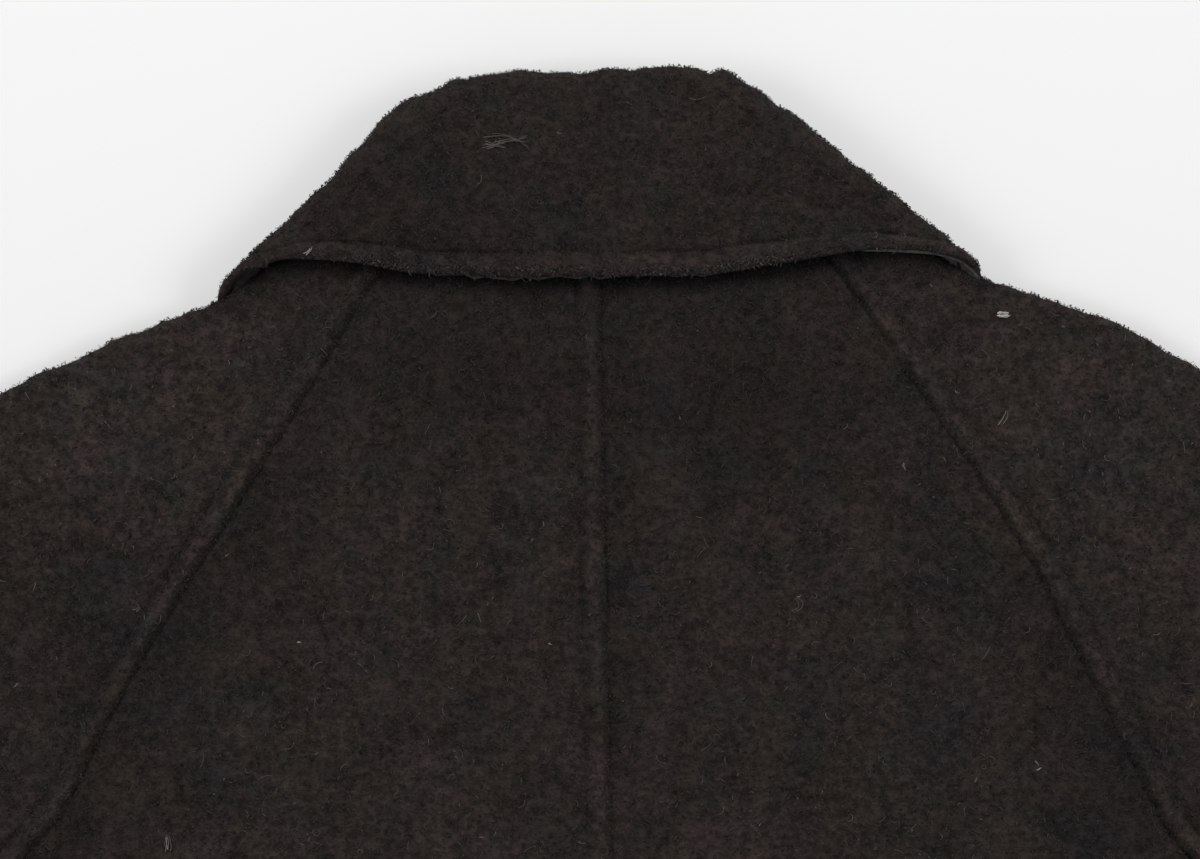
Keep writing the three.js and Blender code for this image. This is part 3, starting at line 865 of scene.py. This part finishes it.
# Fold over the shoulder: out, left drop, right drop
SHOULDER = np.array(
    [
        (86, 40, 40),
        (112, 62, 61),
        (136, 79, 78),
        (160, 92.4, 88),
        (184, 100.3, 96.3),
        (210, 110.5, 107.5),
        (238, 123, 123),
        (268, 139, 139),
        (298, 156.5, 156.5),
        (330, 177, 177),
        (364, 201, 201),
        (398, 226, 226),
    ],
    float,
)

# The arm: upper fold and underarm seam, each as out, drop
ARM = np.array(
    [
        (404, 230.5, 273, 355.5),
        (430, 251, 304, 381),
        (478, 298, 351, 415),
        (522, 349, 395, 452),
        (562, 400, 436, 494),
        (614, 471, 492, 556),
        (665, 541, 548, 626),
    ],
    float,
)
ARM_STEP = 1.5 * ROW_STEP  # between the rows below the underarm
FOLD_STEPS = 12  # round the fold
UPPER_COLUMNS = 40  # between those that are close to the fold and the seam
LOWER_COLUMNS = 10


def sleeve_sheet(side):
    """The sheet of a sleeve, as rows from the back seam, over the fold, to the front seam."""
    sign = SIDES[side]
    shoulder = np.stack([SHOULDER[:, 0], -SHOULDER[:, 1 + (sign > 0)]], 1)
    at = evenly(shoulder, ROW_STEP)
    arm = through(ARM * (1, -1, 1, -1), evenly(ARM[:, :2], ARM_STEP))
    fold = np.vstack([through(shoulder, at), arm[:, :2]])
    seam = back_raglan(sign)
    back = np.vstack([through(seam, at), arm[:, 2:]])
    front = np.vstack([through(FRONT_RAGLAN[:, ::-1] * (1, -1), at), arm[:, 2:]])
    turned = np.arange(len(fold)) >= len(at)
    spot_x, spot_y = sign * fold[:, 0], fold[:, 1]
    radius = (back_height(spot_x, spot_y) + crease_form(spot_x, spot_y) - front_height(spot_x, spot_y)) / 2
    near_fold = np.array([0, 1.5, 4])
    layers = [(back, NEAR_SEAM, UPPER_COLUMNS), (front, np.array([0, 2, 5]), LOWER_COLUMNS)]
    halves = []
    for seams, near_seam, between in layers:
        rows = []
        for spot, end, half_height, turns in zip(fold, seams, radius, turned):
            way = (end - spot) / math.hypot(*(end - spot))
            inset = half_height + CLOTH / 2
            length = math.hypot(*(end - spot)) - edge_reach(turns) - inset
            along = seamed_columns(length, near_fold, near_seam, between)
            tail = length + edge_turn(turns)[0]
            along[-1] = length if turns else length - EDGE_RUN
            rows.append(spot + (inset + np.r_[along, tail])[:, None] * way)
        upper = seams is back
        height, fall = (over_back, -1) if upper else (front_height, 1)
        halves.append(laid(sign, rows, turned, height, fall))
    upper, lower = halves[0][:, ::-1], halves[1]
    top, bottom = upper[:, -1:], lower[:, :1]
    centre, half = (top + bottom) / 2, (top - bottom) / 2
    out = np.stack([spot_x, spot_y, np.zeros(len(fold))], 1)[:, None] - centre * (1, 1, 0)
    out *= np.linalg.norm(half, axis=2, keepdims=True) / np.linalg.norm(out, axis=2, keepdims=True)
    angle = np.linspace(0, math.pi, FOLD_STEPS + 1)[1:-1, None]
    turn = centre + half * np.cos(angle) + out * np.sin(angle)
    sheet = np.concatenate([upper, turn, lower], axis=1)
    return sheet if sign > 0 else sheet[:, ::-1]


def on_top(x, y, z):
    """Hairs are sparse on the lower layer of a sleeve, which lies on the floor."""
    return in_view(x, y, z) * (0.1 + 0.9 * ease(z, 2.5, 5))


SLEEVE_HAIRS = 36000
SLEEVE_CURLS = 900
for side, sign in SIDES.items():
    smooth = sleeve_sheet(side)
    sheet, shade = tufted(smooth), upper_shade(smooth[..., 0], smooth[..., 1])
    face = outside(sheet, CLOTH)
    sleeve = wall(f"cloth_sleeve_{side}", sheet, CLOTH, WOOL, shade)
    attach(sleeve, "root")
    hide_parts(f"sleeve_{side}")
    nap = hairs(f"nap_sleeve_{side}", face, shade, SLEEVE_HAIRS, 21 + sign, on_top)
    stitches(f"stitches_raglan_{side}", on_upper(beside_line(RAGLAN_SEAMS[side], -sign * STITCH_INSET)))
    hairs(f"curls_sleeve_{side}", face, shade, SLEEVE_CURLS, 51 + sign, on_top, **CURLS)
    outer_faces.append(face)

# ---------------------------------------------------------------------------------------------------
# Fronts: the two fronts, cut from the same wool. They lie face down under the back, one over the
# other at the centre, sewn to it at the sides, and are hidden but for their cut edge at the hem.

for side in SIDES:
    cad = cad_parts[f"front_{side}"]
    front = cad.copy()
    front.data = cad.data.copy()
    front.name = f"cloth_front_{side}"
    bpy.context.scene.collection.objects.link(front)
    bpy.ops.object.select_all(action="DESELECT")
    bpy.context.view_layer.objects.active = front
    front.select_set(True)
    bpy.ops.object.mode_set(mode="EDIT")
    bpy.ops.mesh.select_all(action="SELECT")
    bpy.ops.mesh.remove_doubles(threshold=0.00002)
    bpy.ops.mesh.tris_convert_to_quads()
    bpy.ops.object.mode_set(mode="OBJECT")
    front.data.materials.clear()
    front.data.materials.append(WOOL)
    bpy.ops.object.shade_smooth_by_angle(angle=math.radians(40))
    front.select_set(False)
    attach(front, "root")
    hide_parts(f"front_{side}")

# ---------------------------------------------------------------------------------------------------
# Collar: two layers folded along the roll. The upper collar, of the coat's own wool, shows; the under
# collar is a thinner, smooth cloth, and its edge peeps out below the leaf where the leaf rolls back.

# From the back seam round to the front's end: degrees that the crease has turned, then the roll, the
# neckline and the leaf's edge, each as out, drop
COLLAR = {
    "right": [
        (0, 0, 6.3, 0, 46, 0, 81.2),
        (0, 16, 5.7, 20, 46, 32, 81.4),
        (0, 28, 5.3, 38, 45.5, 60, 80),
        (0, 36, 5.6, 54, 44, 88, 75.8),
        (0, 41, 6.1, 66, 42, 112, 73),
        (0, 44, 6.8, 74, 40, 126, 73.2),
        (0, 46, 7.8, 82, 38, 137, 75.6),
        (30, 48.4, 9.8, 82, 38, 141.8, 80.8),
        (60, 49.2, 12.6, 82, 38, 145.4, 87),
        (90, 49, 15.2, 82, 38, 147, 93),
        (120, 49, 16.5, 82, 38, 147.4, 98),
        (150, 49.5, 17.6, 82, 38, 147, 100),
        (180, 50, 18.5, 82, 38, 147, 102),
        (180, 51, 28, 82, 56, 148, 116),
        (180, 50, 47, 73, 80, 142, 137),
        (180, 42, 66, 54, 103, 122, 160),
        (180, 25, 81, 31, 117, 92, 178),
        (180, 5, 89, 2, 124, 62, 190),
    ],
    "left": [
        (0, 0, 6.3, 0, 46, 0, 81.2),
        (0, 16, 6.9, 20, 46, 32, 81.4),
        (0, 30, 6.1, 38, 45.5, 64, 79.3),
        (0, 39, 6.5, 54, 44, 89, 75.4),
        (0, 45, 7.1, 66, 42, 111, 72.6),
        (0, 49, 7.3, 74, 40, 126, 72.6),
        (0, 51.6, 8.4, 82, 38, 136, 75.6),
        (30, 53.2, 10.6, 82, 38, 141, 81.6),
        (60, 53.2, 13.0, 82, 38, 144.6, 89),
        (90, 52.8, 15.0, 82, 38, 146.4, 96),
        (120, 52.8, 16.4, 82, 38, 145.6, 98.4),
        (150, 52.8, 17.6, 82, 38, 146.5, 101.4),
        (180, 53, 18.5, 82, 38, 147, 103),
        (180, 52, 28, 82, 56, 148, 116),
        (180, 50, 47, 73, 80, 142, 137),
        (180, 42, 66, 54, 103, 122, 160),
        (180, 25, 81, 31, 117, 92, 178),
        (180, 5, 89, 2, 124, 62, 190),
    ],
}
CREASE_FULLNESS = {"left": 5.3, "right": 1.4}  # how far the turn to the front swells below its top
ROLL_HEIGHT = 19.2  # of the leaf's cloth at the roll
FOOT_DROP = 18.5  # of the roll where the collar has turned under to the front
LEAF_COLUMNS = 22  # between the roll and those that are close to the edge


def leaf_columns(length):
    """Places down the leaf, close together beside its edge."""
    near_edge = np.concatenate([np.arange(0, 13, 0.7), [15, 18]])
    return seamed_columns(length, np.array([0.0]), near_edge, LEAF_COLUMNS)


def half_collar(side, radius, extra):
    """Half of one layer of the collar: rows from the back seam to the front's end."""
    leaf_rows, turn_rows, foot_rows = np.linspace(0, 6, 52), np.linspace(6, 12, 30), np.linspace(12, 17, 34)
    at = np.concatenate([leaf_rows[:-1], turn_rows[:-1], foot_rows])
    sign = SIDES[side]
    sheet = []
    for row in through(COLLAR[side], at):
        angle = math.radians(np.clip(row[0], 0, 180))
        roll, neck, edge = (row[k : k + 2] * (1, -1) for k in (1, 3, 5))
        leaf_length = math.hypot(*(edge - roll))
        crease = (edge - roll) / leaf_length
        outward = np.array([-crease[1], crease[0]])
        turned = row[0] > 179.9
        slant = math.sin(angle) ** 2 * 0.5 + 0.15
        bulge = np.array([math.sin(slant), -math.cos(slant)])
        if turned:
            depth = (row[2] - FOOT_DROP) / 70
            bulge = np.array([1 - 0.5 * max(depth - 0.4, 0), -1.2 * max(depth - 0.3, 0)])
            bulge /= math.hypot(*bulge)

        def place(step, offset, settled, fullness=0.0):
            """Points of the row, by their way from the roll and their offset from its middle."""
            flat = roll + step
            x = sign * flat[:, 0]
            rest = back_height(x, flat[:, 1]) + CLOTH / 2 + 0.8 + 0.6 * crease_form(x, flat[:, 1])
            high = ROLL_HEIGHT + (rest - ROLL_HEIGHT) * settled
            bend = (high - HALF_BUNDLE) / 2 + offset
            aside = 0 if turned else step @ outward
            out = (bend + fullness) * math.sin(angle) - aside * (1 - math.cos(angle))
            spot = flat + outward * np.reshape(out, (-1, 1))
            level = (high + HALF_BUNDLE) / 2 + bend * math.cos(angle) - aside * math.sin(angle)
            return np.column_stack([sign * spot[:, 0], spot[:, 1], level])

        share = np.linspace(0, 1, 5)[:-1, None]
        stand = place((neck - roll) * (1 - share), -radius, 0)
        bend = np.linspace(-math.pi / 2, math.pi / 2, 13)[:, None]
        turn = place(-bulge * radius * np.cos(bend), radius * np.sin(bend)[:, 0], 0)
        along = leaf_columns(leaf_length + extra(sign * edge[0]))
        settled = ease(along, 25, 80)
        fullness = CREASE_FULLNESS[side] * ease(along, 0, 16) * np.exp(-(((along - 24) / 46) ** 2))
        leaf = place(crease * along[:, None], radius, settled, fullness)
        sheet.append(np.vstack([stand, turn, leaf[1:]]))
    return np.array(sheet)


def upper_extra(x):
    """How the upper collar's edge swings a little in and out."""
    return 0.5 * math.sin(x / 17) + 0.35 * math.sin(x / 6.3 + 1)


def collar_sheet(radius, extra):
    """A whole layer of the collar, from the left front's end to the right front's."""
    left, right = half_collar("left", radius, extra), half_collar("right", radius, extra)
    sheet = np.vstack([left[:0:-1], right])
    leaf_faces_up = normals_of(sheet)[len(sheet) // 2, -20, 2] > 0
    return sheet if leaf_faces_up else sheet[::-1]


LEAF_STITCH = 8.8  # of the stitches from the leaf's edge


def topstitched(sheet):
    """The upper collar with its leaf's stitches sunk in, the painted light and shade of its nap and how far
    in it is.
    """
    gaps = np.linalg.norm(np.diff(sheet[:, ::-1], axis=1), axis=2)
    inset = np.concatenate([np.zeros((len(sheet), 1)), np.cumsum(gaps, axis=1)], axis=1)[:, ::-1]
    edge_gaps = np.linalg.norm(np.diff(sheet[:, -1], axis=0), axis=1)
    along = np.concatenate([[0], np.cumsum(edge_gaps)])[:, None]
    uneven = 1 + 0.3 * np.sin(along / 19) + 0.2 * np.sin(along / 7.3)
    furrow = -0.9 * uneven * np.exp(-(((inset - LEAF_STITCH) / 1.8) ** 2))
    swell = 0.6 * uneven * np.exp(-(((inset - 4.8) / 2.8) ** 2))
    edge = -0.4 * np.exp(-((inset / 1.6) ** 2))
    x, y = sheet[..., 0], sheet[..., 1]
    form = furrow + swell + edge + 0.45 * lumps(x, y, 24, 12)
    # painted highlight over the swell along the edge, the collar a little darker overall, a darker patch on
    # the left and painted shade in the stitch furrow
    shade = 0.3 * uneven * np.exp(-(((inset - 4.2) / 3.0) ** 2)) - 0.1
    shade = shade - 0.2 * np.exp(-(((x + 72) / 42) ** 2) - ((y + 50) / 26) ** 2)
    shade = shade - 0.17 * uneven * np.exp(-(((inset - LEAF_STITCH) / 1.8) ** 2))
    return sheet + normals_of(sheet) * form[..., None], shade, inset


UPPER_OFFSET = 4.5  # of the upper collar from the middle of the folded bundle
COLLAR_TUFTS = 0.75  # how strong its tufts are beside those of the back
upper_sheet, collar_shade, leaf_inset = topstitched(collar_sheet(UPPER_OFFSET, upper_extra))
upper_sheet = tufted(upper_sheet, COLLAR_TUFTS)
collar_face = outside(upper_sheet, CLOTH)
outer_faces.append(collar_face)
upper_collar = wall("cloth_upper_collar", upper_sheet, CLOTH, WOOL, collar_shade)
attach(upper_collar, "root")
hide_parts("upper_collar")


def on_leaf(x, y, z):
    """Hairs are sparse where the collar is turned under, out of sight."""
    return 0.15 + 0.85 * ease(z, 9, 14)


COLLAR_HAIRS = 26000
COLLAR_CURLS = 600
EDGE_HAIRS = 2800
nap = hairs("nap_upper_collar", collar_face, collar_shade, COLLAR_HAIRS, 31, on_leaf)
hairs("curls_collar", collar_face, collar_shade, COLLAR_CURLS, 61, on_leaf, **CURLS)


def by_the_edge(x, y, z):
    """Along the part of the leaf's edge where the hairs are pale, more in some places than in others."""
    patchy = 0.45 + ease(lumps(x, 0 * y, 22, 33), -0.5, 0.6)
    return patchy * ease(z, 9, 14) * (0.15 + ease(-np.abs(x + 8), -108, -72))


edge_face, edge_shade = collar_face[:, -6:], collar_shade[:, -6:]
hairs("pale_nap_collar_edge", edge_face, edge_shade, EDGE_HAIRS, 63, by_the_edge, tones=(0.45, 0.74))
leaf_line = [[np.interp(LEAF_STITCH, inset[::-1], face[::-1, axis]) for axis in range(3)]
             for inset, face in zip(leaf_inset, collar_face)]
stitches("stitches_collar", np.array(leaf_line))

UNDER_CLOTH = 1.8  # thickness
UNDER_OFFSET = 1.2  # of the under collar from the middle of the folded bundle
UNDER_HAIRS = 2000

# How far the under collar shows past the leaf's edge: x, length
UNDER_SHOWS = [
    (-160, -4),
    (-78, -3),
    (-66, 0.2),
    (-46, 1.1),
    (-20, 1.3),
    (2, 1.1),
    (8, -0.6),
    (22, 0.3),
    (54, 0.4),
    (62, -2),
    (97, -2),
    (108, 1.3),
    (122, 2.4),
    (134, 2.6),
    (160, 3.2),
]


def under_extra(x):
    """How far the under collar shows past the leaf's edge, where it is a little ragged."""
    places, shown = zip(*UNDER_SHOWS)
    ragged = 0.5 * math.sin(x / 2.1) + 0.4 * math.sin(x / 1.3 + 2)
    ragged *= 1 - ease(x, 60, 85)
    return float(np.interp(x, places, shown)) + upper_extra(x) + ragged


FELT = napped(
    "under_collar_cloth",
    deep=(0.05, 0.047, 0.045),
    bright=(0.15, 0.142, 0.137),
    texture=(0.5, 0.3, 0.2, 0.3),
    depth=0.0003,
    sheen=0.02,
)
under_sheet = collar_sheet(UNDER_OFFSET, under_extra)
edge_x = under_sheet[:, -1:, 0]
# painted shadow where the under collar is tucked under the leaf at its two ends, and its middle, where its
# edge shows, darker
under_shade = -0.85 * ease(-edge_x, 110, 130) - 0.42 * (1 - ease(np.abs(edge_x - 5), 75, 95))
under_shade = under_shade - 0.5 * ease(edge_x, 137, 144)
under_shade = np.broadcast_to(under_shade, under_sheet.shape[:2])
under_edge = outside(under_sheet, UNDER_CLOTH)[:, -4:]
unshaded = np.zeros(under_edge.shape[:2])
hairs(
    "frayed_under_collar",
    under_edge,
    unshaded,
    UNDER_HAIRS,
    65,
    by_the_edge,
    long=0.8,
    tones=(0.56, 0.86),
)
under_collar = wall("cloth_under_collar", under_sheet, UNDER_CLOTH, FELT, under_shade)
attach(under_collar, "root")
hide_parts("under_collar")

# ---------------------------------------------------------------------------------------------------
# Pale fibres: stray light hairs of other wool, caught on the nap here and there. Each is a loose curl
# that lies on top of the cloth, and some are matted together.

# x, drop, length, way it lies and how far it turns in degrees, how bright, how many together
STRAYS = [
    (-35.5, 28.6, 21, -3, -34, 0.79, 6),
    (-41, 29.3, 10, 5, 20, 0.84, 6),
    (-39.4, 26.6, 8, 50, 290, 0.77, 1),
    (-30.5, 27.4, 8, 24, -60, 0.74, 2),
    (-47.6, 24.6, 6, 118, 20, 0.74, 1),
    (-47, 43, 7, 60, 60, 0.72, 1),
    (-116, 70, 4.5, 40, 60, 0.9, 4),
    (161, 101, 5.5, 0, 25, 0.97, 11),
    (161, 100, 5, 0, 15, 0.97, 8),
    (-188, 211, 5, 40, 120, 0.85, 2),
    (-123, 226, 2, 0, 20, 0.92, 5),
    (-66, 96, 6, 70, 80, 0.68, 2),
    (74, 215, 11, 100, 200, 0.76, 2),
    (172, 283, 3, 40, 60, 0.91, 3),
    (160, 142, 8, 65, 40, 0.87, 2),
    (-237, 241, 3, 45, 40, 0.87, 3),
    (-178, 306, 7.5, 80, 40, 0.88, 4),
    (-69, 226, 4, 60, 120, 0.73, 1),
    (97, 144, 4, 30, 90, 0.73, 1),
    (42, 12, 8, 10, 60, 0.72, 1),
    (21, 244, 4, 80, 60, 0.76, 1),
]

# Small ones scattered over the back and the sleeves: the least and the most of the same values
SPECKS = 10
SPECK_LEAST = (-210, 130, 2, -60, 20, 0.84)
SPECK_MOST = (210, 310, 3.4, 90, 60, 0.89)
SPECK_FIBRES = 2  # in each
scatter = np.random.default_rng(72)
specks = [(*scatter.uniform(SPECK_LEAST, SPECK_MOST), SPECK_FIBRES) for _ in range(SPECKS)]

STRAY_POINTS = 9  # along each fibre
random = np.random.default_rng(71)
surface = np.vstack([face.reshape(-1, 3) for face in outer_faces])
share = np.linspace(0, 1, STRAY_POINTS)
spines, widths, tones = [], [], []
for x, drop, long, lies, turns, bright, count in STRAYS + specks:
    near = surface[np.hypot(surface[:, 0] - x, surface[:, 1] + drop) < 6]
    level = near[:, 2].max() + 0.5
    for _ in range(count):
        length = long * random.uniform(0.5, 1)
        heading = math.radians(lies) + random.normal(0, 0.15) + np.radians(turns) * (share - 0.5)
        heading = heading + np.cumsum(random.normal(0, 0.12, STRAY_POINTS))
        middle = np.array([x, -drop]) + random.normal(0, long, 2) * (0.07, 0.018)
        run = np.stack([np.cos(heading), np.sin(heading)], 1) * length / (STRAY_POINTS - 1)
        place = middle + np.cumsum(run, axis=0) - run.sum(axis=0) / 2
        height = level + random.uniform(0, 0.5) + 0.3 * np.sin(math.pi * share)
        spines.append(np.column_stack([place, height]))
        across = np.stack([-np.sin(heading), np.cos(heading), np.zeros(STRAY_POINTS)], 1)
        widths.append(across * random.uniform(0.07, 0.19) * (1 - 0.5 * share)[:, None])
        tones.append(bright)
ribbons(list(np.stack(spines, 1)), list(np.stack(widths, 1)), np.array(tones), "pale_fibres")

# ---------------------------------------------------------------------------------------------------
# The surface, the light and the camera: a pale floor under broad soft light. The camera looks straight
# down on the upper back and is turned a little over one degree.

bpy.ops.object.select_all(action="DESELECT")
bpy.ops.mesh.primitive_plane_add(size=14)
floor = bpy.context.object
floor.name = "floor"
floor.select_set(False)
paper = bpy.data.materials.new("pale_floor")
paper.use_nodes = True
paper_shader = paper.node_tree.nodes["Principled BSDF"]
paper_shader.inputs["Base Color"].default_value = (0.8, 0.8, 0.8, 1)
paper_shader.inputs["Roughness"].default_value = 0.9
paper_shader.inputs["Specular IOR Level"].default_value = 0.1
floor.data.materials.append(paper)


def soft_light(name, place, size, power):
    """A square soft box that faces the coat. The place is in metres."""
    light = bpy.data.lights.new(name, "AREA")
    light.shape, light.size, light.energy = "SQUARE", size, power
    lamp = bpy.data.objects.new(name, light)
    lamp.location = place
    way = np.array([0, 0.1, 0]) - np.array(place)
    tilt, turn = math.acos(-way[2] / np.linalg.norm(way)), math.atan2(way[0], -way[1]) + math.pi
    lamp.rotation_euler = (tilt, 0, turn)
    bpy.context.scene.collection.objects.link(lamp)


soft_light("soft_top", (-0.15, 2.1, 2.2), 1.3, 60)
soft_light("soft_left", (-2.2, 0.3, 1.7), 1.3, 20)
soft_light("soft_right", (2.2, 0.3, 1.7), 1.3, 22)
world = bpy.data.worlds.new("studio")
bpy.context.scene.world = world
world.use_nodes = True
sky = world.node_tree.nodes["Background"]
sky.inputs["Color"].default_value = (1, 1, 1, 1)
sky.inputs["Strength"].default_value = 0.285
bpy.context.scene.view_settings.view_transform = "Standard"

VIEW_WIDTH = 480  # of the upper back, from side to side of the view
VIEW_DROP = 143.4  # of the middle of the view
VIEW_OUT = -0.9
CAMERA_HEIGHT = 2.4
COAT_TOP = 0.014  # height of the cloth that fills the view
CAMERA_TURN = -0.02007  # to the right, in radians
camera_data = bpy.data.cameras.new("camera")
camera_data.sensor_width = 36
camera_data.lens = camera_data.sensor_width * (CAMERA_HEIGHT - COAT_TOP) / (VIEW_WIDTH * MM)
camera = bpy.data.objects.new("camera", camera_data)
camera.location = (VIEW_OUT * MM, (COLLAR_TOP - VIEW_DROP) * MM, CAMERA_HEIGHT)
camera.rotation_euler = (0, 0, CAMERA_TURN)
bpy.context.scene.collection.objects.link(camera)
bpy.context.scene.camera = camera
